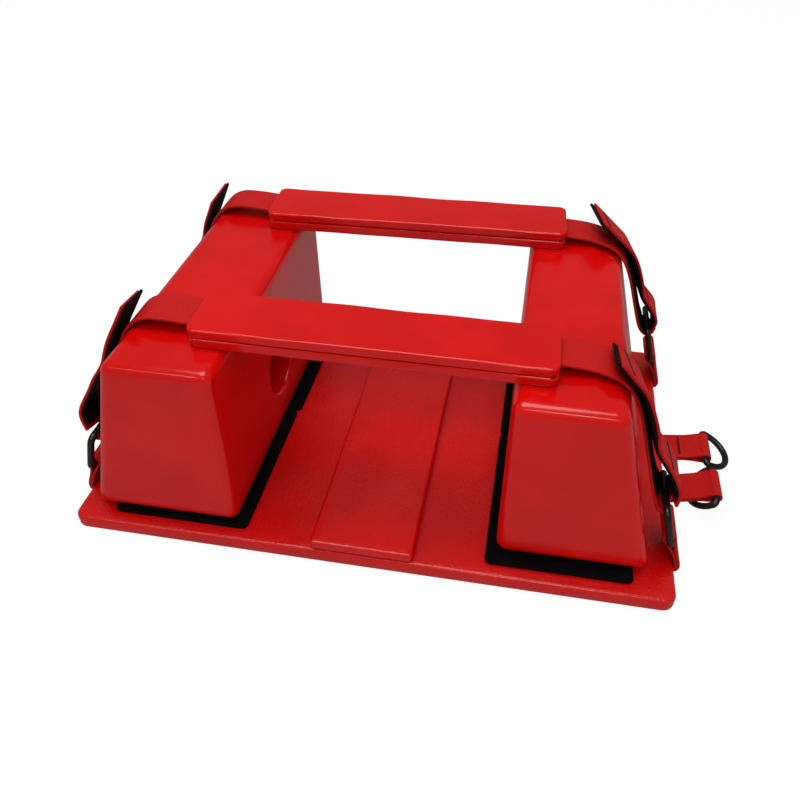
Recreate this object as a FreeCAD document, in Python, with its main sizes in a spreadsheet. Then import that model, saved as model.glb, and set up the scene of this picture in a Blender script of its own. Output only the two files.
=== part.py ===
import FreeCAD, Part
import Sketcher
import math
import os

# Head immobiliser for a rescue stretcher or spine board: a coated foam base, two foam head
# blocks on hook-and-loop pads, and two padded head straps threaded through rings at the sides.
# Frame in millimetres: X to the right, Y to the back, Z up, origin under the middle of the base.

os.makedirs("parts", exist_ok=True)
doc = FreeCAD.newDocument("head_immobiliser")
Vector = FreeCAD.Vector

SIZES = {
    # base board and the raised pad along its middle
    "base_width": 400, "base_depth": 262, "base_thick": 11, "base_corner": 8, "base_round": 2.5,
    "base_coat": 1,
    "centre_width": 68, "centre_thick": 7, "centre_margin": 1, "centre_corner": 3, "centre_round": 2,
    # loop pads on the base, two to a side, and the hook pads under the blocks
    "loop_inner": 79.5, "loop_width": 94, "loop_margin": 9, "loop_thick": 2.2, "loop_corner": 4,
    "loop_split": 0.6, "loop_jog": 2,
    "hook_thick": 1.8, "hook_inset": 11, "hook_split": 14,
    # head blocks
    "block_inner": 85.5, "block_foot": 101, "block_top": 68.5, "block_high": 121, "block_long": 231,
    "left_block_y": -5, "right_block_y": 1,
    "block_lean": 3, "block_round": 7, "block_coat": 1.2,
    "ear_diameter": 50, "ear_height": 50,
    # head strap pads, two foam layers with the webbing between them
    "soft_gap": 0.3,
    "pad_long": 219, "pad_wide": 43.5, "pad_layer": 5.5, "pad_corner": 5.5, "pad_round": 1.4,
    "front_strap_inset": 46, "rear_strap_inset": 30, "rear_strap_yaw": 2,
    # webbing, rings and the tabs that hold the rings
    "web_wide": 28, "web_thick": 1.8, "front_web_shift": 5, "rear_web_shift": 3.5, "tab_spread": 18,
    "wire_diameter": 4.6, "wire_gap": 0.3, "ring_corner": 4.5, "ring_side_gap": 0.5,
    "ring_high": 29, "ring_lean": 16, "bar_x": 192.5, "bar_z": 34,
    "slot_deep": 24, "slot_gap": 0.3, "tab_bend": 2.4,
    # tails with their hook patches, and the loop patches that they close on
    "patch_thick": 1.9, "patch_inset": 1, "patch_start": 8, "patch_end": 3,
    "front_left_tail_over": 12, "front_left_tail_lift": 35,
    "front_right_tail_over": 9.5, "front_right_tail_lift": 75,
    "rear_left_tail_over": 12, "rear_left_tail_lift": 35,
    "rear_right_tail_over": 34, "rear_right_tail_lift": 52,
    # spare rings at the right side
    "spare_wide": 25, "spare_ring_high": 19, "spare_ring_corner": 3.45,
    "spare_rear_y": 15.5, "spare_rear_out": 32, "spare_rear_tilt": 8, "spare_rear_droop": 22,
    "spare_front_y": -28.5, "spare_front_out": 34, "spare_front_tilt": 16,
    "spare_front_droop": 140,
    # bar tacks of black thread
    "tack_wide": 1.8, "tack_high": 0.7, "tack_side": 3, "tack_first": 8, "tack_pitch": 9,
    "tail_tack": 24,
}

sheet = doc.addObject("Spreadsheet::Sheet", "sizes")
for row, (alias, value) in enumerate(SIZES.items(), start=1):
    sheet.set(f"A{row}", alias)
    sheet.set(f"B{row}", str(value))
    sheet.setAlias(f"B{row}", alias)
doc.recompute()


def size(alias):
    """The value of one cell of the sheet."""
    return float(sheet.get(alias))


nodes = []
SAME = 1e-6    # two places nearer than this are one
ROUGH = 10     # a sketch is drawn at about this half size, before its constraints set it
SIDES = {"left": -1, "right": 1}
STRAPS = {"front": -1, "rear": 1}


# ---------------------------------------------------------------- slabs with rounded edges

def origin_plane(body, role):
    return next(feature for feature in body.Origin.OriginFeatures if feature.Role == role)


def rectangle(body, name, wide, deep, level, centred=True):
    """A rectangle on the body's XY plane: across X from the middle or from zero, Y centred."""
    sketch = body.newObject("Sketcher::SketchObject", name)
    sketch.AttachmentSupport = [(origin_plane(body, "XY_Plane"), "")]
    sketch.MapMode = "FlatFace"
    sketch.setExpression("AttachmentOffset.Base.z", level)
    low = -ROUGH if centred else 0
    corners = [Vector(low, -ROUGH), Vector(ROUGH, -ROUGH), Vector(ROUGH, ROUGH),
               Vector(low, ROUGH)]
    for start, end in zip(corners, corners[1:] + corners[:1]):
        sketch.addGeometry(Part.LineSegment(start, end))
    rules = [Sketcher.Constraint("Coincident", i, 2, (i + 1) % 4, 1) for i in range(4)]
    rules += [Sketcher.Constraint("Horizontal", 0), Sketcher.Constraint("Horizontal", 2)]
    rules += [Sketcher.Constraint("Vertical", 1), Sketcher.Constraint("Vertical", 3)]
    if centred:
        rules.append(Sketcher.Constraint("Symmetric", 0, 1, 1, 2, -1, 1))
    else:
        rules.append(Sketcher.Constraint("Symmetric", 3, 2, 3, 1, -1, 1))
    sketch.addConstraint(rules)
    across = sketch.addConstraint(Sketcher.Constraint("DistanceX", 0, 1, 0, 2, ROUGH))
    sketch.renameConstraint(across, "wide")
    along = sketch.addConstraint(Sketcher.Constraint("DistanceY", 1, 1, 1, 2, ROUGH))
    sketch.renameConstraint(along, "deep")
    sketch.setExpression("Constraints.wide", wide)
    sketch.setExpression("Constraints.deep", deep)
    return sketch


def upright_edges(shape):
    """Names of the edges that run along Z."""
    names = []
    for index, edge in enumerate(shape.Edges, start=1):
        start, end = edge.Vertexes[0].Point, edge.Vertexes[-1].Point
        if abs(start.x - end.x) + abs(start.y - end.y) < SAME:
            names.append(f"Edge{index}")
    return names


def outline_edges(shape):
    """Names of the edges that lie in the top and bottom faces."""
    names = []
    for index, edge in enumerate(shape.Edges, start=1):
        if abs(edge.BoundBox.ZLength) < SAME:
            names.append(f"Edge{index}")
    return names


def slab(label, wide, deep, thick, corner, edge=None, centred=True):
    """A flat plate with rounded corners, and rounded top and bottom edges if edge is given."""
    body = doc.addObject("PartDesign::Body", label)
    body.Label = label
    sketch = rectangle(body, label + "_plan", wide, deep, "0", centred)
    plate = body.newObject("PartDesign::Pad", label + "_pad")
    plate.Profile = sketch
    plate.setExpression("Length", thick)
    doc.recompute()
    corners = body.newObject("PartDesign::Fillet", label + "_corners")
    corners.Base = (plate, upright_edges(plate.Shape))
    corners.setExpression("Radius", corner)
    doc.recompute()
    if edge:
        rim = body.newObject("PartDesign::Fillet", label + "_rim")
        rim.Base = (corners, outline_edges(corners.Shape))
        rim.setExpression("Radius", edge)
        doc.recompute()
    return body


def place(thing, x="0", y="0", z="0", turn=None):
    """Set a placement by expressions, with an optional turn about Z in degrees."""
    for axis, value in (("x", x), ("y", y), ("z", z)):
        thing.setExpression("Placement.Base." + axis, value)
    if turn:
        thing.Placement.Rotation = FreeCAD.Rotation(Vector(0, 0, 1), 0)
        thing.setExpression("Placement.Rotation.Angle", turn)


def cut(label, base, tool):
    """The base less the tool, as one object."""
    result = doc.addObject("Part::Cut", label)
    result.Label = label
    result.Base = base
    result.Tool = tool
    return result


def keep(thing):
    """Note an object as a node of the assembly."""
    nodes.append(thing)
    return thing


# ---------------------------------------------------------------- base, centre pad, loop pads

BASE_TOP = "sizes.base_thick"
LOOP_TOP = "(sizes.base_thick + sizes.loop_thick)"
BLOCK_FOOT = "(sizes.base_thick + sizes.loop_thick + sizes.hook_thick)"
SPARES = ("front", "rear")


def strap_middle(strap):
    """Middle of a strap along Y, set in from the ends of the blocks, as an expression."""
    return f"({STRAPS[strap]} * (sizes.block_long / 2 - sizes.{strap}_strap_inset))"


def tab_y(strap):
    """Middle of a strap's ring tabs along Y, as an expression."""
    return f"({strap_middle(strap)} + {STRAPS[strap]} * sizes.tab_spread)"


def side_slot(name, side, middle, wide):
    """One slot at mid height of the base, open at its side face, for the root of a ring tab."""
    box = doc.addObject("Part::Box", name)
    box.setExpression("Length", "sizes.slot_deep + sizes.slot_gap * 2")
    box.setExpression("Width", f"{wide} + sizes.slot_gap * 2")
    box.setExpression("Height", "(sizes.web_thick + sizes.slot_gap) * 2")
    start = "sizes.base_width / 2 - sizes.slot_deep - sizes.slot_gap"
    if side == "left":
        start = "-sizes.base_width / 2 - sizes.slot_gap"
    place(box, start, f"{middle} - {wide} / 2 - sizes.slot_gap",
          "sizes.base_thick / 2 - sizes.web_thick - sizes.slot_gap")
    return box


def make_base():
    slots = []
    for strap in STRAPS:
        for side in SIDES:
            slots.append(side_slot(f"slot_{strap}_{side}", side, tab_y(strap), "sizes.web_wide"))
    for spare in SPARES:
        slots.append(side_slot(f"slot_spare_{spare}", "right", f"sizes.spare_{spare}_y",
                               "sizes.spare_wide"))
    slot_set = doc.addObject("Part::MultiFuse", "slots")
    slot_set.Shapes = slots
    outer = slab("base_outline", "sizes.base_width", "sizes.base_depth", "sizes.base_thick",
                 "sizes.base_corner", "sizes.base_round")
    inner = slab("base_foam", "sizes.base_width - 2 * sizes.base_coat",
                 "sizes.base_depth - 2 * sizes.base_coat",
                 "sizes.base_thick - 2 * sizes.base_coat",
                 "sizes.base_corner - sizes.base_coat", "sizes.base_round - sizes.base_coat")
    place(inner, z="sizes.base_coat")
    keep(cut("base_core", inner, slot_set))
    shell = cut("base_shell", outer, inner)
    keep(cut("base_skin", shell, slot_set))


def make_centre_pad():
    deep = "(sizes.base_depth - 2 * sizes.centre_margin)"
    outer = slab("centre_outline", "sizes.centre_width", deep, "sizes.centre_thick",
                 "sizes.centre_corner", "sizes.centre_round")
    inner = slab("centre_pad_core", "sizes.centre_width - 2 * sizes.base_coat",
                 deep + " - 2 * sizes.base_coat", "sizes.centre_thick - 2 * sizes.base_coat",
                 "sizes.centre_corner - sizes.base_coat", "sizes.centre_round - sizes.base_coat")
    place(outer, z=BASE_TOP)
    place(inner, z=BASE_TOP + " + sizes.base_coat")
    keep(cut("centre_pad_skin", outer, inner))
    keep(inner)


def make_loop_pads():
    """Two loop pads to a side, end to end; the rear left one lies a little nearer the middle."""
    deep = "((sizes.base_depth - sizes.loop_split) / 2 - sizes.loop_margin)"
    for side, sign in SIDES.items():
        for end, way in STRAPS.items():
            pad = keep(slab(f"loop_pad_{end}_{side}", "sizes.loop_width", deep, "sizes.loop_thick",
                            "sizes.loop_corner"))
            middle = "(sizes.loop_inner + sizes.loop_width / 2)"
            if (end, side) == ("rear", "left"):
                middle = "(sizes.loop_inner + sizes.loop_width / 2 - sizes.loop_jog)"
            place(pad, f"{sign} * {middle}", f"{way} * (sizes.loop_split + {deep}) / 2", BASE_TOP)


# ---------------------------------------------------------------- head blocks

def block_solid(label, inset, bore):
    """A block's foam wedge with all edges rounded and the ear hole through it across X.

    It stands on z = 0 with its inner face at x = 0; inset shrinks every face.
    """
    body = doc.addObject("PartDesign::Body", label)
    body.Label = label
    wedge = body.newObject("PartDesign::AdditiveWedge", label + "_wedge")
    wedge.AttachmentSupport = [(origin_plane(body, "XY_Plane"), "")]
    wedge.MapMode = "FlatFace"
    upright = FreeCAD.Rotation(Vector(1, 0, 0), 90)
    wedge.AttachmentOffset = FreeCAD.Placement(Vector(0, 0, 0), upright)
    limits = {
        "Xmin": "0", "Xmax": f"sizes.block_foot - 2 * {inset}",
        "X2min": "0", "X2max": f"sizes.block_top - 2 * {inset}",
        "Ymin": "0", "Ymax": f"sizes.block_high - 2 * {inset}",
        "Zmin": f"{inset} - sizes.block_long / 2", "Zmax": f"sizes.block_long / 2 - {inset}",
        "Z2min": f"{inset} + sizes.block_lean - sizes.block_long / 2",
        "Z2max": f"sizes.block_long / 2 - sizes.block_lean - {inset}",
    }
    for limit, value in limits.items():
        wedge.setExpression(limit, value)
    doc.recompute()
    soft = body.newObject("PartDesign::Fillet", label + "_round")
    soft.Base = (wedge, ["Edge1"])
    soft.UseAllEdges = True
    soft.setExpression("Radius", f"sizes.block_round - {inset}")
    doc.recompute()
    port = body.newObject("Sketcher::SketchObject", label + "_port")
    port.AttachmentSupport = [(origin_plane(body, "YZ_Plane"), "")]
    port.MapMode = "FlatFace"
    port.addGeometry(Part.Circle(Vector(0, ROUGH, 0), Vector(0, 0, 1), ROUGH))
    port.addConstraint(Sketcher.Constraint("PointOnObject", 0, 3, -2))
    rise = port.addConstraint(Sketcher.Constraint("DistanceY", -1, 1, 0, 3, ROUGH))
    port.renameConstraint(rise, "rise")
    across = port.addConstraint(Sketcher.Constraint("Diameter", 0, ROUGH))
    port.renameConstraint(across, "across")
    port.setExpression("Constraints.rise", f"sizes.ear_height - {inset}")
    port.setExpression("Constraints.across", bore)
    hole = body.newObject("PartDesign::Pocket", label + "_ear_hole")
    hole.Profile = port
    hole.Type = "ThroughAll"
    hole.Midplane = True
    doc.recompute()
    return body


def make_blocks():
    turns = {"left": "180", "right": "0"}
    for side, sign in SIDES.items():
        outer = block_solid(f"block_outline_{side}", "0", "sizes.ear_diameter")
        inner = block_solid(f"block_core_{side}", "sizes.block_coat",
                            "sizes.ear_diameter + 2 * sizes.block_coat")
        middle = f"sizes.{side}_block_y"
        place(outer, f"{sign} * sizes.block_inner", middle, BLOCK_FOOT, turns[side])
        place(inner, f"{sign} * (sizes.block_inner + sizes.block_coat)", middle,
              BLOCK_FOOT + " + sizes.block_coat", turns[side])
        keep(cut(f"block_skin_{side}", outer, inner))
        keep(inner)
        make_hook_pads(side, sign)


def make_hook_pads(side, sign):
    deep = "((sizes.block_long - sizes.hook_split) / 2 - sizes.hook_inset)"
    for end, way in STRAPS.items():
        pad = keep(slab(f"hook_pad_{end}_{side}", "sizes.block_foot - 2 * sizes.hook_inset", deep,
                        "sizes.hook_thick", "sizes.loop_corner"))
        place(pad, f"{sign} * (sizes.block_inner + sizes.block_foot / 2)",
              f"sizes.{side}_block_y + {way} * (sizes.hook_split + {deep}) / 2", LOOP_TOP)


# ---------------------------------------------------------------- webbing, in the plane of X and Z
#
# A path is a list of stations (u, z, y): u is the distance out from the middle plane, so one
# path serves both sides. The width of the webbing always runs along Y.

def unit(u, z):
    length = math.hypot(u, z)
    return u / length, z / length


def normals(path):
    """The mitred normal at each station, to the left of the way along the path."""
    ways = [unit(b[0] - a[0], b[1] - a[1]) for a, b in zip(path, path[1:])]
    result = []
    for before, after in zip([ways[0]] + ways, ways + [ways[-1]]):
        mean = unit(before[0] + after[0], before[1] + after[1])
        stretch = 1 / (mean[0] * after[0] + mean[1] * after[1])
        result.append((-mean[1] * stretch, mean[0] * stretch))
    return result


def offset(path, distance):
    """The path moved sideways, to its left for a positive distance."""
    return [(u + nu * distance, z + nz * distance, y)
            for (u, z, y), (nu, nz) in zip(path, normals(path))]


def trim(path, start, end):
    """The path without its first start and last end millimetres."""
    for cut_off in (start, end):
        rest = cut_off
        while rest > 0:
            (u0, z0, y0), (u1, z1, y1) = path[0], path[1]
            length = math.hypot(u1 - u0, z1 - z0)
            if length > rest:
                share = rest / length
                path = [(u0 + (u1 - u0) * share, z0 + (z1 - z0) * share,
                         y0 + (y1 - y0) * share)] + path[1:]
                break
            rest -= length
            path = path[1:]
        path = path[::-1]
    return path


def strip(path, wide, thick, sign, upright_start=False):
    """A band of webbing along a path, as one solid; its first end can stand upright."""
    sections = []
    half = thick / 2
    across = normals(path)
    if upright_start:
        across[0] = (0, 1)
    for (u, z, y), (nu, nz) in zip(path, across):
        corners = [Vector(sign * (u + way * nu * half), y + edge * wide / 2, z + way * nz * half)
                   for way, edge in ((-1, -1), (1, -1), (1, 1), (-1, 1))]
        sections.append(Part.makePolygon(corners + corners[:1]))
    return Part.makeLoft(sections, True, True)


def feature(label, shape):
    """A node that holds a shape made here."""
    result = doc.addObject("Part::Feature", label)
    result.Label = label
    result.Shape = shape
    return keep(result)


def arc(centre, radius, first, last, steps):
    """Points on an arc in the (u, z) plane, angles in radians, both ends included."""
    return [(centre[0] + radius * math.cos(first + (last - first) * i / steps),
             centre[1] + radius * math.sin(first + (last - first) * i / steps))
            for i in range(steps + 1)]


def crossing_line(near, near_radius, far, far_radius):
    """Direction of the line that passes over the near circle and under the far one."""
    along = math.atan2(far[1] - near[1], far[0] - near[0])
    distance = math.hypot(far[0] - near[0], far[1] - near[1])
    return along - math.asin((near_radius + far_radius) / distance)


def touch_angle(point, centre, radius):
    """Angle at which a line from a point on the middle side touches a circle from above."""
    away = math.atan2(point[1] - centre[1], point[0] - centre[0])
    distance = math.hypot(point[0] - centre[0], point[1] - centre[1])
    return away - math.acos(radius / distance)


WEB = size("web_thick")
SLOPE = (size("block_foot") - size("block_top")) / size("block_high")
BLOCK_TOP_Z = (size("base_thick") + size("loop_thick") + size("hook_thick")
               + size("block_high"))
WEB_Z = BLOCK_TOP_Z + size("soft_gap") + size("pad_layer") + WEB / 2
# centre of the round along the block's outer top edge
EDGE_CENTRE = (size("block_inner") + size("block_top") + SLOPE * size("block_round")
               - size("block_round") * math.hypot(1, SLOPE), BLOCK_TOP_Z - size("block_round"))
EDGE_REACH = size("block_round") + size("soft_gap") + WEB / 2
BAR = (size("bar_x"), size("bar_z"))
LEAN = math.radians(size("ring_lean"))
CREST = (BAR[0] - size("ring_high") * math.sin(LEAN), BAR[1] + size("ring_high") * math.cos(LEAN))
EYE_INSIDE = size("wire_diameter") / 2 + size("wire_gap")
FOLD_REACH = EYE_INSIDE + WEB / 2
DROP = crossing_line(EDGE_CENTRE, EDGE_REACH, CREST, FOLD_REACH)
OUTWARD = DROP + math.pi / 2
TAIL_REACH = EDGE_REACH + WEB + 2 * size("patch_thick") + size("soft_gap")
EDGE_STEPS = 5
FOLD_STEPS = 8


def pad_middle(strap):
    return STRAPS[strap] * (size("block_long") / 2 - size(f"{strap}_strap_inset"))


def web_middle(strap):
    """Middle of the webbing along Y; it runs a little to the back of the middle of its pad."""
    return pad_middle(strap) + size(f"{strap}_web_shift")


def tab_middle(strap):
    return pad_middle(strap) + STRAPS[strap] * size("tab_spread")


def with_y(points, first, last):
    """Stations from points, with Y running evenly along the path from first to last."""
    lengths = [0]
    for a, b in zip(points, points[1:]):
        lengths.append(lengths[-1] + math.hypot(b[0] - a[0], b[1] - a[1]))
    return [(u, z, first + (last - first) * run / lengths[-1])
            for (u, z), run in zip(points, lengths)]


def drop_path(strap):
    """From the end of the pad over the block's edge, down, through the ring and round it."""
    pad_end = (size("pad_long") / 2, WEB_Z)
    first = touch_angle(pad_end, EDGE_CENTRE, EDGE_REACH)
    over = arc(EDGE_CENTRE, EDGE_REACH, first, OUTWARD, EDGE_STEPS)
    fold = arc(CREST, FOLD_REACH, OUTWARD - math.pi, OUTWARD, FOLD_STEPS)
    top = [(u, z, web_middle(strap)) for u, z in [pad_end] + over]
    side = with_y([over[-1], fold[0]], web_middle(strap), tab_middle(strap))
    return top + side[1:] + [(u, z, tab_middle(strap)) for u, z in fold[1:]]


def hinge_point():
    """The line that a tail peels about, just above the end of the fold."""
    rise = WEB / 2 + size("soft_gap")
    return (CREST[0] + FOLD_REACH * math.cos(OUTWARD) - rise * math.cos(DROP),
            CREST[1] + FOLD_REACH * math.sin(OUTWARD) - rise * math.sin(DROP))


def tail_path(strap, side):
    """From the hinge line up beside the block, round its edge and on to the tip."""
    root = hinge_point()
    away = math.atan2(root[1] - EDGE_CENTRE[1], root[0] - EDGE_CENTRE[0])
    distance = math.hypot(root[0] - EDGE_CENTRE[0], root[1] - EDGE_CENTRE[1])
    first = away + math.acos(TAIL_REACH / distance)
    last = math.radians(size(f"{strap}_{side}_tail_lift"))
    bend = arc(EDGE_CENTRE, TAIL_REACH, first, last, EDGE_STEPS)
    over = size(f"{strap}_{side}_tail_over")
    tip = (bend[-1][0] - over * math.sin(last), bend[-1][1] + over * math.cos(last))
    return with_y([root] + bend + [tip], tab_middle(strap), web_middle(strap))


def pin(centre, radius, wide, y, sign):
    """A cylinder along Y."""
    return Part.makeCylinder(radius, wide, Vector(sign * centre[0], y - wide / 2, centre[1]),
                             Vector(0, 1, 0))


def make_straps():
    for strap in STRAPS:
        make_strap_pad(strap)
        for side, sign in SIDES.items():
            make_strap_side(strap, side, sign)


def make_strap_pad(strap):
    """Two foam layers with the webbing between them."""
    turn = "sizes.rear_strap_yaw" if strap == "rear" else None
    levels = {"bottom": "0", "top": "sizes.pad_layer + sizes.web_thick"}
    for layer, level in levels.items():
        pad = keep(slab(f"{strap}_strap_pad_{layer}", "sizes.pad_long", "sizes.pad_wide",
                        "sizes.pad_layer", "sizes.pad_corner", "sizes.pad_round"))
        place(pad, "0", strap_middle(strap),
              f"{BLOCK_FOOT} + sizes.block_high + sizes.soft_gap + {level}", turn)
    half = size("pad_long") / 2
    path = [(x, WEB_Z, web_middle(strap)) for x in (-half, half)]
    feature(f"{strap}_strap_web", strip(path, size("web_wide"), WEB, 1))


def make_strap_side(strap, side, sign):
    name = f"{strap}_{side}"
    wide = size("web_wide")
    patch_wide = wide - 2 * size("patch_inset")
    patch = size("patch_thick")
    skin = (WEB + patch) / 2
    drop = drop_path(strap)
    feature(f"{name}_strap_drop", strip(drop, wide, WEB, sign, upright_start=True))
    straight = drop[-FOLD_STEPS - 2:-FOLD_STEPS]
    loop_face = offset(trim(straight, size("patch_end"), size("patch_start")), skin)
    feature(f"{name}_loop_patch", strip(loop_face, patch_wide, patch, sign))

    tail = tail_path(strap, side)
    root = pin(tail[0], WEB / 2, wide, tail[0][2], sign)
    feature(f"{name}_tail", strip(tail, wide, WEB, sign).fuse(root).removeSplitter())
    hook_face = offset(trim(tail, size("patch_start"), size("patch_end")), skin)
    feature(f"{name}_hook_patch", strip(hook_face, patch_wide, patch, sign))
    tack = trim(tail, size("tail_tack"), 0)[:2]
    tack = [tack[0], trim(tack, size("tack_wide"), 0)[0]]
    tack = offset(tack, -(WEB + size("tack_high")) / 2)
    tack_wide = wide - 2 * size("tack_side")
    feature(f"{name}_tail_tack", strip(tack, tack_wide, size("tack_high"), sign))

    feature(f"{name}_ring_tab", strap_tab(strap, sign))
    feature(f"{name}_strap_ring", strap_ring(strap, sign))


# ---------------------------------------------------------------- rings and their tabs

def ring_loop(wide, high, foot_corner, bow_corner):
    """A closed ring of round wire in the XY plane: its bar along Y at x = 0, its bow at x = high.

    All sizes are to the middle of the wire.
    """
    half = wide / 2
    turns = [(Vector(0, -half, 0), foot_corner), (Vector(high, -half, 0), bow_corner),
             (Vector(high, half, 0), bow_corner), (Vector(0, half, 0), foot_corner)]
    edges = []
    last_point = Vector(0, half - foot_corner, 0)
    for index, (corner, radius) in enumerate(turns):
        before = (turns[index - 1][0] - corner).normalize()
        after = (turns[(index + 1) % len(turns)][0] - corner).normalize()
        start = corner + before * radius
        end = corner + after * radius
        middle = corner + (before + after) * radius * (1 - math.sqrt(0.5))
        if (start - last_point).Length > SAME:
            edges.append(Part.LineSegment(last_point, start).toShape())
        edges.append(Part.Arc(start, middle, end).toShape())
        last_point = end
    spine = Part.Wire(edges)
    seam = edges[0].Vertexes[0].Point
    wire = Part.Wire(Part.makeCircle(size("wire_diameter") / 2, seam, Vector(0, 1, 0)))
    return spine.makePipeShell([wire], True, False)


def set_ring(loop, bar, lean, y, sign):
    """Put a ring's bar at a place (u, z), its bow rising from the outward level by lean."""
    turned = loop.copy()
    angle = lean if sign > 0 else math.pi - lean
    turned.Placement = FreeCAD.Placement(
        Vector(sign * bar[0], y, bar[1]),
        FreeCAD.Rotation(Vector(0, 1, 0), -math.degrees(angle)))
    return turned


def strap_ring(strap, sign):
    wide = size("web_wide") + 2 * (size("ring_side_gap") + size("ring_corner"))
    loop = ring_loop(wide, size("ring_high"), size("ring_corner"), size("ring_corner"))
    return set_ring(loop, BAR, math.pi / 2 + LEAN, tab_middle(strap), sign)


def tab_solid(stem, bar, wide, y, sign):
    """Doubled webbing along the stem, closed round a ring's bar in an eye."""
    plies = strip([(u, z, y) for u, z in stem], wide, 2 * WEB, sign)
    eye = pin(bar, EYE_INSIDE + WEB, wide, y, sign)
    hole = pin(bar, EYE_INSIDE, wide + WEB, y, sign)
    return plies.fuse(eye).cut(hole).removeSplitter()


def towards(start, end, short):
    """The point on the way from start to end that lies short of the end."""
    way = unit(end[0] - start[0], end[1] - start[1])
    return end[0] - way[0] * short, end[1] - way[1] * short


def strap_tab(strap, sign):
    """From the slot in the base's side, up past its edge and on to the ring's bar."""
    edge = size("base_width") / 2
    level = size("base_thick") / 2
    bend = size("tab_bend")
    rise = arc((edge, level + bend), bend, -math.pi / 2, 0, EDGE_STEPS)
    above = (edge + bend, size("base_thick"))
    stem = [(edge - size("slot_deep"), level)] + rise + [above, towards(above, BAR, FOLD_REACH)]
    return tab_solid(stem, BAR, size("web_wide"), tab_middle(strap), sign)


def spare_place(spare):
    """Where a spare tab leaves the base and where its ring's bar lies."""
    out = size(f"spare_{spare}_out")
    tilt = math.radians(size(f"spare_{spare}_tilt"))
    start = (size("base_width") / 2 + size("slot_gap"), size("base_thick") / 2)
    return start, (start[0] + out * math.cos(tilt), start[1] + out * math.sin(tilt))


def make_spares():
    """Two short tabs with D-rings at the right side; the front ring is folded under its tab."""
    wide = size("spare_wide")
    ring_wide = wide + 2 * (size("ring_side_gap") + size("wire_diameter") / 2)
    foot_corner = size("spare_ring_corner")
    loop = ring_loop(ring_wide + foot_corner, size("spare_ring_high"), foot_corner,
                     (ring_wide + foot_corner) / 2)
    for spare in SPARES:
        start, bar = spare_place(spare)
        y = size(f"spare_{spare}_y")
        root = (size("base_width") / 2 - size("slot_deep"), start[1])
        stem = [root, start, towards(start, bar, FOLD_REACH)]
        feature(f"spare_{spare}_tab", tab_solid(stem, bar, wide, y, 1))
        droop = math.radians(size(f"spare_{spare}_droop"))
        feature(f"spare_{spare}_ring", set_ring(loop, bar, -droop, y, 1))


def make_spare_tacks():
    """Bar tacks across the spare tabs: two on the rear one, one on the front one."""
    tacks = []
    wide = size("spare_wide") - 2 * size("tack_side")
    for spare, count in (("rear", 2), ("front", 1)):
        start, bar = spare_place(spare)
        y = size(f"spare_{spare}_y")
        for index in range(count):
            first = size("tack_first") + index * size("tack_pitch")
            run = trim([(*start, y), (*bar, y)], first, 0)
            run = [run[0], trim(run, size("tack_wide"), 0)[0]]
            run = offset(run, WEB + size("tack_high") / 2)
            tacks.append(strip(run, wide, size("tack_high"), 1))
    feature("spare_tab_tacks", Part.makeCompound(tacks))


make_base()
make_centre_pad()
make_loop_pads()
make_blocks()
make_straps()
make_spares()
make_spare_tacks()
doc.recompute()

for thing in doc.Objects:
    if "Invalid" in thing.State or "Error" in thing.State:
        raise RuntimeError(f"{thing.Label} did not build: {thing.State}")
for node in nodes:
    if node.Shape.isNull() or not node.Shape.isValid():
        raise RuntimeError(f"{node.Label} has no valid shape")
    node.Shape.exportStep(f"parts/{node.Label}.step")
print(f"{len(nodes)} nodes")
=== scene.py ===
# %% [markdown]
# A head immobiliser for a rescue stretcher, dressed in Blender.
#
# The real object is a foam base that is dipped in red vinyl, two foam head blocks that stand on
# hook-and-loop pads, and two padded head straps. The straps run over the blocks, through black
# rings at the sides of the base, and back up on themselves. The solids come from the CAD model.
# Here each of them gets the soft shape and the finish of the real thing.

import math

import bmesh
import bpy
from mathutils import Matrix, Vector, noise


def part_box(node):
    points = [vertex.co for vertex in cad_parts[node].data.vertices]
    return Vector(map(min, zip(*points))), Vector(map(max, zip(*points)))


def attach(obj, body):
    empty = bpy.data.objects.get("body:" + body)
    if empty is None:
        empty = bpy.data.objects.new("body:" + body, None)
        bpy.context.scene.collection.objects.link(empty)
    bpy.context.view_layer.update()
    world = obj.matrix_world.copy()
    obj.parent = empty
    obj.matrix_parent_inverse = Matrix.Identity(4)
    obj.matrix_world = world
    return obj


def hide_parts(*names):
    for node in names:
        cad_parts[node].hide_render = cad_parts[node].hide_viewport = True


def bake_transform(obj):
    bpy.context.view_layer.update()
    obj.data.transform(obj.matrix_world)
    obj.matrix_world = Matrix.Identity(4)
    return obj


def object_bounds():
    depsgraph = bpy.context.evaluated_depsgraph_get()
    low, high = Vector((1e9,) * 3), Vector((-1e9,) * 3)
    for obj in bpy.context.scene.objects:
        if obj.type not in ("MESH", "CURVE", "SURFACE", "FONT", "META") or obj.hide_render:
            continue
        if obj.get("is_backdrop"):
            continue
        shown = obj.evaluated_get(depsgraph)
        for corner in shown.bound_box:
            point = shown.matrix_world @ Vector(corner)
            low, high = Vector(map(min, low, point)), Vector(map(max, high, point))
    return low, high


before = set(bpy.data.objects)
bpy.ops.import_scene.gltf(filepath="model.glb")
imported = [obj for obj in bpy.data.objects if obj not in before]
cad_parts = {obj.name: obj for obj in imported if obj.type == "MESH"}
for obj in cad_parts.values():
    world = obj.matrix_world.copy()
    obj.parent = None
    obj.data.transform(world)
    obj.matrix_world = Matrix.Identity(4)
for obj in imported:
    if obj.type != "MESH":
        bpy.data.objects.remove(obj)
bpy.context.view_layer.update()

# %% [markdown]
# The camera comes first, so that every later step can be looked at through it. It stands in
# front of the set, a little to the right, and looks down at about forty degrees, near enough for
# the blocks to lean apart in perspective.

# %% Camera
MM = 0.001
scene = bpy.context.scene

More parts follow.
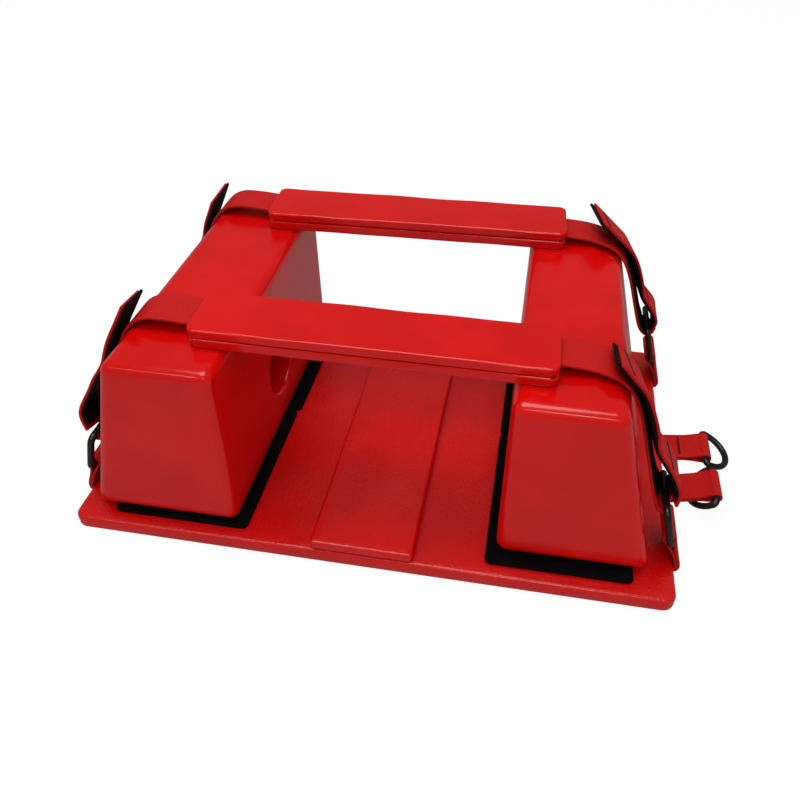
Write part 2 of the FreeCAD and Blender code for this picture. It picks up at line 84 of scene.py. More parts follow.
lens = bpy.data.cameras.new("lens")
lens.lens = 33.80
lens.sensor_width = 36
lens.shift_x = -0.0182
lens.shift_y = 0.0050
camera = bpy.data.objects.new("camera", lens)
scene.collection.objects.link(camera)
camera.matrix_world = (Matrix.Translation(Vector((83.43, -424.66, 402.92)) * MM)
                       @ Matrix.Rotation(math.radians(9.39), 4, "Z")
                       @ Matrix.Rotation(math.radians(90 - 40.67), 4, "X")
                       @ Matrix.Rotation(math.radians(0.59), 4, "Z"))
scene.camera = camera
print("camera at", [round(v, 3) for v in camera.matrix_world.translation])

# %% [markdown]
# Every material is made of nodes, and the same few lines are needed each time: add a node, set
# what it needs and link its inputs. One helper does that. A setting whose value is another
# node's output becomes a link, and any other value is written on the socket. Every finish here
# drifts between a darker and a lighter tone, so a second helper mixes those two colours.

# %% Helpers for materials
scene.view_settings.view_transform = "Standard"


def linear(code):
    """An sRGB hex colour as the linear RGBA that shaders use."""
    parts = [int(code[i:i + 2], 16) / 255 for i in (1, 3, 5)]
    return (*[p / 12.92 if p <= 0.04045 else ((p + 0.055) / 1.055) ** 2.4 for p in parts], 1)


def add(tree, kind, settings=None, **inputs):
    """One node with its settings, its values and its links."""
    node = tree.nodes.new("ShaderNode" + kind)
    for name, value in (settings or {}).items():
        setattr(node, name, value)
    for name, value in inputs.items():
        socket = node.inputs[int(name[1:])] if name[1:].isdigit() else node.inputs[
            name.replace("_", " ")]
        if isinstance(value, bpy.types.NodeSocket):
            tree.links.new(value, socket)
        else:
            socket.default_value = value
    return node


def new_material(name):
    """An empty node material and its tree."""
    material = bpy.data.materials.new(name)
    material.use_nodes = True
    material.node_tree.nodes.clear()
    return material, material.node_tree


def two_tone(tree, value, first, last, dark, light):
    """A colour that goes smoothly from dark to light as the value rises from first to last."""
    share = add(tree, "MapRange", {"interpolation_type": "SMOOTHSTEP"}, _0=value, _1=first,
                _2=last).outputs[0]
    return add(tree, "Mix", {"data_type": "RGBA"}, _0=share, _6=linear(dark),
               _7=linear(light)).outputs[2]


print("material helpers are ready")

# %% [markdown]
# The coating is soft PVC that the foam was dipped in. It is a thick gloss skin: its colour is
# nearly even, its surface waves a little over the foam, and it has the fine orange peel of a
# dipped film. The base has a second kind of the same skin, with a pebbled grain like leather
# that breaks the light up into small sparks. Both come from one function, which takes the
# height of the pebbles.

# %% Red vinyl coating
def vinyl(name, deep, bright, pebble, wave, gloss):
    """Dipped PVC; pebble and wave are heights in millimetres, and gloss is its roughness."""
    material, tree = new_material(name)
    here = add(tree, "TexCoord").outputs["Object"]
    # colour drifts over patches about 60 mm wide, where the film is thicker or thinner
    drift = add(tree, "TexNoise", Vector=here, Scale=1 / (60 * MM), Detail=3.0).outputs[0]
    colour = two_tone(tree, drift, 0.32, 0.68, deep, bright)
    # handling leaves some parts duller, in patches about 25 mm wide
    dull = add(tree, "TexNoise", Vector=here, Scale=1 / (25 * MM), Detail=4.0).outputs[0]
    rough = add(tree, "MapRange", _0=dull, _3=gloss - 0.06, _4=gloss + 0.09).outputs[0]
    swell = add(tree, "TexNoise", Vector=here, Scale=1 / (38 * MM), Detail=1.0).outputs[0]
    waves = add(tree, "Bump", Height=swell, Distance=wave * MM, Strength=1.0).outputs[0]
    peel = add(tree, "TexNoise", Vector=here, Scale=1 / (2.6 * MM), Detail=2.0).outputs[0]
    skin = add(tree, "Bump", Height=peel, Distance=0.03 * MM, Strength=1.0,
               Normal=waves).outputs[0]
    if pebble:
        # pebbles 2 mm across with soft valleys between them
        cells = add(tree, "TexVoronoi", {"feature": "SMOOTH_F1"}, Vector=here,
                    Scale=1 / (2.0 * MM), Smoothness=0.6).outputs["Distance"]
        skin = add(tree, "Bump", {"invert": True}, Height=cells, Distance=pebble * MM,
                   Strength=1.0, Normal=skin).outputs[0]
    shader = add(tree, "BsdfPrincipled", Base_Color=colour, Roughness=rough, Normal=skin,
                 IOR=1.5)
    add(tree, "OutputMaterial", Surface=shader.outputs[0])
    return material


coating = vinyl("dipped_pvc_gloss", "#C20403", "#CE0705", 0, 0.30, 0.16)
pebbled = vinyl("dipped_pvc_pebbled", "#C00504", "#CC0907", 0.16, 0.25, 0.24)
print("coatings:", coating.name, pebbled.name)

# %% [markdown]
# The straps are polypropylene webbing, woven in a herringbone: ribs about 1.6 mm wide run along
# the strap, and the threads cross each rib at a slant that turns at the next. The pattern has to
# follow the strap round its bends, so it reads the strap's own UV map, which holds millimetres
# along and across.

# %% Red webbing
RIB_WIDE, THREAD_APART = 1.6, 1.5           # millimetres


def webbing(name, dark, light):
    """Herringbone webbing; the light tone lies on the threads and the dark one between them."""
    material, tree = new_material(name)
    place = add(tree, "UVMap", {"uv_map": "strap"}).outputs[0]
    apart = add(tree, "SeparateXYZ", Vector=place)
    along, across = apart.outputs[0], apart.outputs[1]
    # a zigzag across the ribs slants the threads one way and then the other
    zig = add(tree, "Math", {"operation": "PINGPONG"}, _0=across, _1=RIB_WIDE).outputs[0]
    slant = add(tree, "Math", {"operation": "MULTIPLY_ADD"}, _0=zig, _1=1.1,
                _2=along).outputs[0]
    turn = add(tree, "Math", {"operation": "MULTIPLY"}, _0=slant,
               _1=2 * math.pi / THREAD_APART).outputs[0]
    wave = add(tree, "Math", {"operation": "SINE"}, _0=turn).outputs[0]
    thread = add(tree, "MapRange", _0=wave, _1=-1.0, _2=1.0).outputs[0]
    rib = add(tree, "Math", {"operation": "PINGPONG"}, _0=across, _1=RIB_WIDE / 2).outputs[0]
    ribs = add(tree, "MapRange", _0=rib, _1=0.0, _2=0.3).outputs[0]
    cloth = add(tree, "Math", {"operation": "MULTIPLY"}, _0=thread, _1=ribs).outputs[0]
    here = add(tree, "TexCoord").outputs["Object"]
    fuzz = add(tree, "TexNoise", Vector=here, Scale=1 / (0.9 * MM), Detail=3.0).outputs[0]
    mixed = add(tree, "Math", {"operation": "MULTIPLY_ADD"}, _0=fuzz, _1=0.35,
                _2=cloth).outputs[0]
    colour = two_tone(tree, mixed, 0.1, 0.9, dark, light)
    bump = add(tree, "Bump", Height=mixed, Distance=0.22 * MM, Strength=1.0).outputs[0]
    shader = add(tree, "BsdfPrincipled", Base_Color=colour, Roughness=0.62, Normal=bump,
                 IOR=1.49, Specular_IOR_Level=0.2)
    add(tree, "OutputMaterial", Surface=shader.outputs[0])
    return material


web = webbing("woven_polypropylene_red", "#A80605", "#D20D0A")
print("webbing:", web.name)

# %% [markdown]
# Three black finishes are left. The loop pads are brushed nylon pile, which swallows the light.
# The hook strips are woven tape with rows of tiny hooks, a little shinier. The rings are
# moulded nylon with a fine spark-eroded grain. Sewing thread makes a fourth, with a twist that
# is too fine to see, so it gets a small bump and a painted grey sheen.

# %% Black pile, hooks, nylon and thread
def pile():
    """Brushed loops: dull, almost lightless, in tufts about a millimetre wide."""
    material, tree = new_material("brushed_nylon_pile_black")
    here = add(tree, "TexCoord").outputs["Object"]
    tufts = add(tree, "TexNoise", Vector=here, Scale=1 / (1.1 * MM), Detail=6.0,
                Roughness=0.7).outputs[0]
    patches = add(tree, "TexNoise", Vector=here, Scale=1 / (22 * MM), Detail=3.0).outputs[0]
    both = add(tree, "Math", {"operation": "MULTIPLY_ADD"}, _0=patches, _1=0.6,
               _2=tufts).outputs[0]
    colour = two_tone(tree, both, 0.55, 1.0, "#040303", "#0C0A0A")
    bump = add(tree, "Bump", Height=tufts, Distance=0.5 * MM, Strength=1.0).outputs[0]
    shader = add(tree, "BsdfPrincipled", Base_Color=colour, Roughness=0.95, Normal=bump,
                 IOR=1.45, Specular_IOR_Level=0.1)
    add(tree, "OutputMaterial", Surface=shader.outputs[0])
    return material


def hooks():
    """Woven tape with small stiff hooks, whose tips are painted a little lighter as a painted
    highlight.
    """
    material, tree = new_material("woven_hook_tape_black")
    here = add(tree, "TexCoord").outputs["Object"]
    # hooks stand in rows 1.5 mm apart
    dots = add(tree, "TexVoronoi", {"feature": "F1"}, Vector=here, Scale=1 / (1.5 * MM),
               Randomness=0.25).outputs["Distance"]
    # the hook tips get the lighter tone, a painted highlight standing in for the light they catch
    colour = two_tone(tree, dots, 0.1, 0.6, "#0E0C0C", "#040303")
    bump = add(tree, "Bump", {"invert": True}, Height=dots, Distance=0.6 * MM,
               Strength=1.0).outputs[0]
    shader = add(tree, "BsdfPrincipled", Base_Color=colour, Roughness=0.7, Normal=bump,
                 IOR=1.53, Specular_IOR_Level=0.2)
    add(tree, "OutputMaterial", Surface=shader.outputs[0])
    return material


def moulded_nylon():
    """Moulded nylon: satin, with patches that use has rubbed smoother."""
    material, tree = new_material("moulded_nylon_black")
    here = add(tree, "TexCoord").outputs["Object"]
    grain = add(tree, "TexNoise", Vector=here, Scale=1 / (0.8 * MM), Detail=2.0).outputs[0]
    rubbed = add(tree, "TexNoise", Vector=here, Scale=1 / (9 * MM), Detail=3.0).outputs[0]
    colour = two_tone(tree, rubbed, 0.35, 0.75, "#070606", "#100F0F")
    bump = add(tree, "Bump", Height=grain, Distance=0.04 * MM, Strength=1.0).outputs[0]
    rough = add(tree, "MapRange", _0=rubbed, _3=0.28, _4=0.46).outputs[0]
    shader = add(tree, "BsdfPrincipled", Base_Color=colour, Roughness=rough, Normal=bump,
                 IOR=1.53)
    add(tree, "OutputMaterial", Surface=shader.outputs[0])
    return material


def sewing_thread():
    """Polyester thread: black, with a faint grey painted sheen along its twist."""
    material, tree = new_material("twisted_polyester_thread_black")
    here = add(tree, "TexCoord").outputs["Object"]
    twist_and_sheen = add(tree, "TexNoise", Vector=here, Scale=1 / (0.5 * MM), Detail=2.0).outputs[0]
    # the lighter grey tone along the twist is a painted sheen
    colour = two_tone(tree, twist_and_sheen, 0.3, 0.8, "#080708", "#242122")
    bump = add(tree, "Bump", Height=twist_and_sheen, Distance=0.1 * MM, Strength=1.0).outputs[0]
    shader = add(tree, "BsdfPrincipled", Base_Color=colour, Roughness=0.6, Normal=bump,
                 IOR=1.5)
    add(tree, "OutputMaterial", Surface=shader.outputs[0])
    return material


loop_pile, hook_tape, ring_nylon, black_thread = pile(), hooks(), moulded_nylon(), sewing_thread()
print("blacks:", loop_pile.name, hook_tape.name, ring_nylon.name, black_thread.name)

# %% [markdown]
# Meshes are shaped in millimetres and turned to metres at the end, because the frame is in
# metres. A finished piece's object stays at the origin. The flat foam parts all start in the
# same way: a cube is stretched to a plate, its upright edges are bevelled to rounded corners,
# and then its rims. Cutting the plate with rows of planes gives it points to bend by, so a
# function can make it sag, crown or ripple as foam does.

# %% Helpers for shapes
def finished(name, shape, *materials):
    """A bmesh in millimetres as an object in metres."""
    bmesh.ops.scale(shape, vec=(MM, MM, MM), verts=shape.verts)
    shape.normal_update()
    mesh = bpy.data.meshes.new(name)
    shape.to_mesh(mesh)
    shape.free()
    mesh.shade_smooth()
    piece = bpy.data.objects.new(name, mesh)
    scene.collection.objects.link(piece)
    for material in materials:
        mesh.materials.append(material)
    return piece


def settled(piece):
    """The piece with its modifiers applied."""
    graph = bpy.context.evaluated_depsgraph_get()
    mesh = bpy.data.meshes.new_from_object(piece.evaluated_get(graph))
    piece.modifiers.clear()
    piece.data = mesh
    mesh.shade_smooth()
    return piece


def sliced(shape, pitch):
    """Cut a shape by planes across X, Y and Z, about a pitch apart."""
    for axis in range(3):
        low = min(v.co[axis] for v in shape.verts)
        high = max(v.co[axis] for v in shape.verts)
        count = int((high - low) / pitch)
        across = Vector([float(axis == i) for i in range(3)])
        for step in range(1, count):
            place = across * (low + (high - low) * step / count)
            bmesh.ops.bisect_plane(shape, geom=shape.verts[:] + shape.edges[:] + shape.faces[:],
                                   dist=0.001, plane_co=place, plane_no=across)


def bevelled(shape, edges, offset, segments):
    """Round the given edges over, in place."""
    bmesh.ops.bevel(shape, geom=edges, offset=offset, offset_type="OFFSET", segments=segments,
                    profile=0.5, affect="EDGES", material=-1, clamp_overlap=False)


def plate(wide, deep, thick, corner, rim):
    """A plate with rounded corners and rims, centred, its underside at zero."""
    shape = bmesh.new()
    bmesh.ops.create_cube(shape, size=1)
    bmesh.ops.scale(shape, vec=(wide, deep, thick), verts=shape.verts)
    bmesh.ops.translate(shape, vec=(0, 0, thick / 2), verts=shape.verts)
    upright = [e for e in shape.edges if abs(e.verts[0].co.z - e.verts[1].co.z) > thick / 2]
    bevelled(shape, upright, corner, 8)
    if rim:
        flat = [e for e in shape.edges if abs(e.verts[0].co.z - e.verts[1].co.z) < 1e-4]
        bevelled(shape, flat, rim, 4)
    return shape


def ripple(point, wide, high):
    """A smooth unevenness: how high the surface rises at a point, for swells that wide."""
    return noise.noise(point / wide) * high


def corners(name):
    """The low and the high corner of a CAD node's box, in millimetres."""
    low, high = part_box(name)
    return low / MM, high / MM


def middle_y(name):
    """How far along Y the middle of a CAD node lies."""
    low, high = corners(name)
    return (low.y + high.y) / 2


SIDES = {"left": -1, "right": 1}
strap_y = {strap: middle_y(f"{strap}_strap_web") for strap in ("front", "rear")}
tab_y = {strap: middle_y(f"{strap}_left_ring_tab") for strap in ("front", "rear")}
print("strap middles", strap_y, "tab middles", tab_y)

# %% [markdown]
# The base is an 11 mm board of dipped foam. It lies flat on the floor, so only its top may
# ripple, by a few tenths of a millimetre. The tabs that hold the rings go into slots in its
# sides. A Boolean modifier cuts those, because its cutters are plain boxes.

# %% Base
low, high = corners("base_skin")
BASE_TOP = high.z
SLOT_DEEP, SLOT_HIGH, SLOT_PLAY = 24.3, 4.2, 0.6

shape = plate(high.x - low.x, high.y - low.y, BASE_TOP, corner=8, rim=2.5)
sliced(shape, 9)
for vert in shape.verts:
    if vert.co.z > BASE_TOP * 0.6:
        # the swells are 55 mm wide and fade out over the last 12 mm before the rim
        inside = min(high.x - abs(vert.co.x), high.y - abs(vert.co.y))
        vert.co.z += ripple(vert.co, 55, 0.5) * min(1, inside / 12) - 0.15
base = finished("base", shape, pebbled)

cutters = []
for name in [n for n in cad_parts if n.endswith("_tab")]:
    near, far = corners(name)
    edge = high.x if near.x + far.x > 0 else -high.x
    box = bmesh.new()
    bmesh.ops.create_cube(box, size=1)
    bmesh.ops.scale(box, vec=(2 * SLOT_DEEP, far.y - near.y + SLOT_PLAY, SLOT_HIGH),
                    verts=box.verts)
    bmesh.ops.translate(box, vec=(edge, (near.y + far.y) / 2, BASE_TOP / 2), verts=box.verts)
    cutters.append(finished("slot_" + name, box))
for cutter in cutters:
    slot = base.modifiers.new(cutter.name, "BOOLEAN")
    slot.object = cutter
    slot.solver = "EXACT"
settled(base)
for cutter in cutters:
    bpy.data.objects.remove(cutter)
base.data.materials.clear()             # the cutters leave empty slots behind
base.data.materials.append(pebbled)
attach(base, "base_body")
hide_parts("base_skin", "base_core")
print("base:", len(base.data.polygons), "faces,", len(cutters), "slots")

# %% [markdown]
# A second, narrower pad is glued along the middle of the base, under the head. It has the same
# pebbled skin. Its top ripples slightly, and its ends stop a millimetre short of the base's.

# %% Centre pad
low, high = corners("centre_pad_skin")
shape = plate(high.x - low.x, high.y - low.y, high.z - low.z, corner=3, rim=2)
sliced(shape, 8)
for vert in shape.verts:
    if vert.co.z > (high.z - low.z) / 2:
        inside = min(high.x - abs(vert.co.x), high.y - abs(vert.co.y))
        swell = ripple(vert.co + Vector((40, 0, 0)), 45, 0.4) - 0.2
        vert.co.z += swell * min(1, inside / 10)
bmesh.ops.translate(shape, vec=(0, 0, low.z), verts=shape.verts)
centre_pad = finished("centre_pad", shape, pebbled)
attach(centre_pad, "base_body")
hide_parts("centre_pad_skin", "centre_pad_core")
print("centre pad:", len(centre_pad.data.polygons), "faces")

# %% [markdown]
# Four loop pads lie on the base, two to a side, and four hook pads are glued under the blocks.
# They are thin, so a plate with rounded corners is enough. The edge of the pile is not cut
# clean: each point of the rim moves a few tenths of a millimetre.

# %% Loop pads and hook pads
noise.seed_set(1)                       # unseeded, the vector noise differs from run to run
for name in [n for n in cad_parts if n.startswith(("loop_pad", "hook_pad"))]:
    low, high = corners(name)
    shape = plate(high.x - low.x, high.y - low.y, high.z - low.z, corner=4, rim=0)
    sliced(shape, 5)
    for vert in shape.verts:
        ragged = noise.noise_vector(vert.co / 3.1) * 0.25
        vert.co.x += ragged.x
        vert.co.y += ragged.y
    bmesh.ops.translate(shape, vec=((low.x + high.x) / 2, (low.y + high.y) / 2, low.z),
                        verts=shape.verts)
    is_loop = name.startswith("loop")
    pad = finished(name + "_cloth", shape, loop_pile if is_loop else hook_tape)
    rounding = pad.modifiers.new("rim", "BEVEL")
    rounding.width = (0.7 if is_loop else 0.3) * MM
    rounding.segments = 3
    rounding.limit_method = "ANGLE"
    settled(pad)
    body = "base_body" if is_loop else f"block_{name.split('_')[-1]}_body"
    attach(pad, body)
    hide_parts(name)
print("hook and loop pads are on")

# %% [markdown]
# Each head block is a wedge of dipped foam: its inner face is upright, its outer face slopes, and
# a hole through it lets the crew reach the ear. A cube is drawn in at the top, all its edges are
# bevelled by 7 mm, and a cylinder is cut through. Only then is the rim of the hole bevelled, so
# that the bevel follows the sloped side too. The right block's straps are tight: they squeeze it
# narrower, and press its upper edge round where they cross it.

# %% Head blocks
FOOT_IN = 85.5                      # how far out the upright inner face stands
OUTER = {"left": (186.5, 154.0), "right": (183.0, 149.5)}      # the sloped face's foot and top
BLOCK_LONG, LEAN, ROUND = 231.0, 3.0, 7.0
EAR_RADIUS, EAR_Z, EAR_RIM = 25.0, 65.0, 2.6
PRESSED = Vector((133.1, 107.2))    # centre of the bend where a strap presses the edge in
PRESS_REACH = 27.2                  # how far the pressed foam lies from that centre
PRESS_HALF, PRESS_FADE = 15, 14     # half the pressed width, and how far it fades out beside it


def wedge(side, foot, top, y):
    """A block's body, with all its edges rounded."""
    shape = bmesh.new()
    bmesh.ops.create_cube(shape, size=1)
    for vert in shape.verts:
        upper = vert.co.z > 0
        reach = OUTER[side][upper] if vert.co.x > 0 else FOOT_IN
        half = BLOCK_LONG / 2 - (LEAN if upper else 0)
        vert.co = (SIDES[side] * reach, y + math.copysign(half, vert.co.y), (foot, top)[upper])
    bmesh.ops.recalc_face_normals(shape, faces=shape.faces)
    bevelled(shape, shape.edges[:], ROUND, 8)
    return finished(f"block_{side}", shape)


def drill_ear_hole(block, x, y):
    """Cut the ear hole across a block."""
    shape = bmesh.new()
    bmesh.ops.create_cone(shape, cap_ends=True, segments=72, radius1=EAR_RADIUS,
                          radius2=EAR_RADIUS, depth=300)
    bmesh.ops.rotate(shape, verts=shape.verts, matrix=Matrix.Rotation(math.pi / 2, 3, "Y"))
    bmesh.ops.translate(shape, verts=shape.verts, vec=(x, y, EAR_Z))
    drill = finished("drill", shape)
    hole = block.modifiers.new("ear_hole", "BOOLEAN")
    hole.object = drill
    hole.solver = "EXACT"
    settled(block)
    bpy.data.objects.remove(drill)


def pressed(point):
    """Where a point of the right block goes when its straps press it."""
    away = Vector((point.x, point.z)) - PRESSED
    beside = min(abs(point.y - y) for y in strap_y.values()) - PRESS_HALF
    if min(away) <= 0 or away.length <= PRESS_REACH or beside >= PRESS_FADE:
        return point
    share = 1 - max(0, beside) / PRESS_FADE
    share *= share * (3 - 2 * share)
    reach = PRESS_REACH + (away.length - PRESS_REACH) * (1 - share)
    place = PRESSED + away.normalized() * reach
    return Vector((place.x, point.y, place.y))


for side, sign in SIDES.items():
    low, high = corners(f"block_skin_{side}")
    block_y = (low.y + high.y) / 2
    whole = wedge(side, low.z, high.z, block_y)
    drill_ear_hole(whole, sign * 130, block_y)

    shape = bmesh.new()
    shape.from_mesh(whole.data)
    bpy.data.objects.remove(whole)
    bmesh.ops.scale(shape, vec=(1 / MM,) * 3, verts=shape.verts)
    rim = [e for e in shape.edges if len(e.link_faces) == 2 and e.calc_face_angle() > 1.0
           and all(abs(math.hypot(v.co.y - block_y, v.co.z - EAR_Z) - EAR_RADIUS) < 0.05
                   for v in e.verts)]
    bevelled(shape, rim, EAR_RIM, 4)
    sliced(shape, 5)
    if side == "right":
        for vert in shape.verts:
            vert.co = pressed(vert.co)
    block = finished(f"block_{side}", shape, coating)
    weighted = block.modifiers.new("flat_faces", "WEIGHTED_NORMAL")
    weighted.keep_sharp = True
    settled(block)
    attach(block, f"block_{side}_body")
    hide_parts(f"block_skin_{side}", f"block_core_{side}")
    print(block.name, len(block.data.polygons), "faces, rim edges", len(rim))

# %% [markdown]
# A head strap's pad is two layers of dipped foam with the webbing between them. The layers meet
# along a fine line at their sides, so each is a plate whose rim bends towards the other. The
# pads are slack enough to ripple slightly on the blocks.

# %% Strap pads
WEB_THICK = 1.8
PAD_LONG, PAD_HALF = 219.0, 21.75
LIP_WIDE, LIP_DEEP = 3.2, 0.75      # the rim that bends towards the other layer

for strap in ("front", "rear"):
    yaw = math.radians(2 if strap == "rear" else 0)     # the rear strap lies a little askew
    for layer, facing in (("bottom", 1), ("top", -1)):
        name = f"{strap}_strap_pad_{layer}"
        low, high = corners(name)
        thick = high.z - low.z
        shape = plate(PAD_LONG, 2 * PAD_HALF, thick, corner=5.5, rim=1.4)
        sliced(shape, 5)
        inner = thick if facing > 0 else 0
        for vert in shape.verts:
            edge = min(PAD_LONG / 2 - abs(vert.co.x), PAD_HALF - abs(vert.co.y))
            near = abs(vert.co.z - inner) / thick
            if near < 0.5 and edge < LIP_WIDE and abs(vert.co.x) < PAD_LONG / 2 - 4:
                vert.co.z += facing * LIP_DEEP * min(1, 2 - 2 * edge / LIP_WIDE)
            if near > 0.5:
                vert.co.z += ripple(vert.co + Vector((0, 90 * facing, 0)), 36, 0.5) - 0.2
        bmesh.ops.rotate(shape, verts=shape.verts, matrix=Matrix.Rotation(yaw, 3, "Z"))
        bmesh.ops.translate(shape, verts=shape.verts,
                            vec=(0, (low.y + high.y) / 2, low.z))
        pad = finished(name + "_foam", shape, coating)
        pad.modifiers.new("flat_faces", "WEIGHTED_NORMAL")
        settled(pad)
        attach(pad, "base_body")
        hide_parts(name)
print("strap pads are on")

# %% [markdown]
# Webbing is a flat band, so it starts as a grid: one row of faces for each step along the strap
# and ten across it. Each row of points is moved to its place on the strap's line, square to
# it, and the UV map takes the real length and width in millimetres. Solidify gives the band
# its thickness, and Bevel softens the woven edge.

# %% Helpers for webbing
def spaced(points, pitch=2.0):
    """Points about a pitch apart, on straight runs from each given point to the next."""
    line = [Vector(points[0])]
    for a, b in zip(points, points[1:]):
        a, b = Vector(a), Vector(b)
        count = max(1, round((b - a).length / pitch))
        line += [a.lerp(b, i / count) for i in range(1, count + 1)]
    return line


def length_of(line):
    """How long a line is, in its own units."""
    return sum((b - a).length for a, b in zip(line, line[1:]))


def rounded(line, rounds):
    """The line with its bends eased; its ends stay."""
    for _ in range(rounds):
        line = [line[0]] + [(a + b * 2 + c) / 4
                            for a, b, c in zip(line, line[1:], line[2:])] + [line[-1]]
    return line


def arc(centre, radius, first, last, steps):
    """Points on an arc in the plane of X and Z, angles in degrees."""
    angles = [math.radians(first + (last - first) * i / steps) for i in range(steps + 1)]
    return [(centre[0] + radius * math.cos(t), centre[1] + radius * math.sin(t)) for t in angles]


def shifted(line, distance):
    """The line moved square to itself, towards the side that its faces look to."""
    moved = []
    for i, point in enumerate(line):
        way = (line[min(i + 1, len(line) - 1)] - line[max(i - 1, 0)]).normalized()
        moved.append(point + way.cross(Vector((0, 1, 0))).normalized() * distance)
    return moved


def freed(z):
    """How free a strap's tail is of the fold at its ring, from 0 there to 1 at 105 mm up."""
    return max(0.0, min(1.0, (z - 75) / 30))


def band(name, line, wide, thick, material, lean=0.0):
    """A woven band along a line in millimetres; lean turns its free end about its length."""
    rows = len(line) - 1
    shape = bmesh.new()
    uv = shape.loops.layers.uv.new("strap")
    bmesh.ops.create_grid(shape, x_segments=rows, y_segments=10, size=0.5)
    run = [0.0]
    for a, b in zip(line, line[1:]):
        run.append(run[-1] + (b - a).length)
    for face in shape.faces:
        for loop in face.loops:
            row = round((loop.vert.co.x + 0.5) * rows)
            loop[uv].uv = (run[row], (loop.vert.co.y + 0.5) * wide)
    for vert in shape.verts:
        row, share = round((vert.co.x + 0.5) * rows), vert.co.y
        way = (line[min(row + 1, rows)] - line[max(row - 1, 0)]).normalized()
        across = (Vector((0, 1, 0)) - way * way.y).normalized()
        vert.co = line[row] + across * share * wide
        vert.co.x -= share * wide * lean * freed(line[row].z)
    piece = finished(name, shape, material)
    solid = piece.modifiers.new("thickness", "SOLIDIFY")
    solid.thickness = thick * MM
    solid.offset = 0
    edge = piece.modifiers.new("selvage", "BEVEL")
    edge.width = 0.3 * thick * MM
    edge.segments = 3
    edge.limit_method = "ANGLE"
    edge.angle_limit = math.radians(60)
    return settled(piece)


print("webbing helpers are ready")

# %% [markdown]
# Each strap end runs from its pad over the edge of the block and down to its ring. It goes under
# the ring's top bar and back up as a tail. The left straps are slack and arch over the edge. The
# right ones are tight and press it in. A strap's route is a short list of places: how far out,
# and how far up. It is then given points in between, and its bends are eased.

# %% Strap lines
WEB_WIDE = 28.0
CREST = (184.507, 61.877)        # middle of the ring's top bar
BAR = (192.5, 34.0)              # middle of the ring's lower bar
FOLD = 3.5                       # radius of the webbing round the lower bar
TURN = 4.2                       # and under the top bar
OUTWARD = 19.28                  # the way that the hanging strap faces, in degrees
LIFTS_AT = OUTWARD - 34          # where the tail leaves the top bar, in degrees
TAPE = 1.9                       # thickness of the hook and of the loop strips
HINGE = (187.414, 64.165)        # where the tail starts to peel
OVER = {"left": [(124, 144.0), (139, 144.3), (147, 141.8), (153, 136.8), (158.3, 130.0),
                 (162, 122.5), (166, 111)],
        "right": [(122, 142.0), (131, 140.6), (139.6, 138.2), (146, 135.2), (151.2, 131.0),
                  (155.4, 125.0), (158.7, 118.2), (161.9, 110.4)]}
BELLY = {"left": [(171.6, 90.0), (174.8, 77.0), (176.3, 69.0), (178.7, 62.2)],
         "right": [(167.8, 92.0), (172.2, 78.5), (175.2, 69.5), (178.4, 62.4)]}


def in_space(points, sign, y_start, y_end):
    """Points (out, up) as points in space, with Y running evenly from start to end."""
    runs = [0.0]
    for a, b in zip(points, points[1:]):
        runs.append(runs[-1] + math.hypot(b[0] - a[0], b[1] - a[1]))
    return [Vector((sign * u, y_start + (y_end - y_start) * r / runs[-1], z))
            for (u, z), r in zip(points, runs)]


def strap_line(points, rounds):
    """A route's points as an even line with eased bends."""
    return rounded(spaced(points), rounds)


print("strap routes:", {side: len(OVER[side]) + len(BELLY[side]) for side in OVER}, "places")

# %% [markdown]
# The webbing is sewn between the pad's two layers, and comes out at both its ends. Each side is a
# band of its own. On the outside of the hanging part lies a strip of loop pile, where the tail
# holds on.

# %% Webbing between the pads and down to the rings
drop_lines = {}
for strap in ("front", "rear"):
    low, high = corners(f"{strap}_strap_web")
    seam = (low.z + high.z) / 2
    y = strap_y[strap]
    pad_end = PAD_LONG / 2
    line = spaced([(x, y, seam) for x in (-pad_end, pad_end)], 6)
    middle = band(f"{strap}_strap_middle", line, WEB_WIDE, WEB_THICK, web)
    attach(middle, "base_body")
    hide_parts(f"{strap}_strap_web")
    for side, sign in SIDES.items():
        top = in_space([(pad_end, seam)] + OVER[side], sign, y, y)
        turn = arc(CREST, TURN, -125, LIFTS_AT, 8)
        down = in_space([OVER[side][-1]] + BELLY[side] + turn, sign, y, tab_y[strap])
        line = strap_line(top + down[1:], 6)
        drop_lines[strap, side] = line
        drop = band(f"{strap}_{side}_drop", line, WEB_WIDE, WEB_THICK, web)
        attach(drop, "base_body")
        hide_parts(f"{strap}_{side}_strap_drop")
        hanging = [p for p in line if 61 < p.z < 124 and abs(p.x) < 181]
        hanging = shifted(hanging, (WEB_THICK + TAPE) / 2 * sign)
        patch = band(f"{strap}_{side}_pile_patch", hanging, WEB_WIDE - 2, TAPE, loop_pile)
        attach(patch, "base_body")
        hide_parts(f"{strap}_{side}_loop_patch")
        print(drop.name, "is", round(length_of(line)), "mm of webbing from the pad to the fold")

# %% [markdown]
# The tails are lined with hook tape, which holds them to the loop strip of the hanging part.
# Webbing with tape sewn on it is too stiff to fold flat, so it makes a drop-shaped loop at the
# ring, wide at the left and narrow at the rear right. At the top the tail lets go: the left ones
# stand a little off, and the right ones rise over the edge and turn about their length. Two rows
# of black stitches close the ends of the tape. A tail peels off at its ring, so each is a piece of
# its own.

# %% Tails
def stitches(name, points, facing, long, radius):
    """One small stitch along each pair of points, lying flat on a cloth that faces that way."""
    shape = bmesh.new()
    for a, b in points:
        way = (b - a).normalized()
        side = way.cross(facing).normalized()
        turn = Matrix((way, side, way.cross(side))).transposed().to_4x4()
        place = Matrix.Translation((a + b) / 2) @ turn @ Matrix.Diagonal(
            (long / 2, radius, radius, 1))
        bmesh.ops.create_icosphere(shape, subdivisions=1, radius=1, matrix=place)
    return finished(name, shape, black_thread)


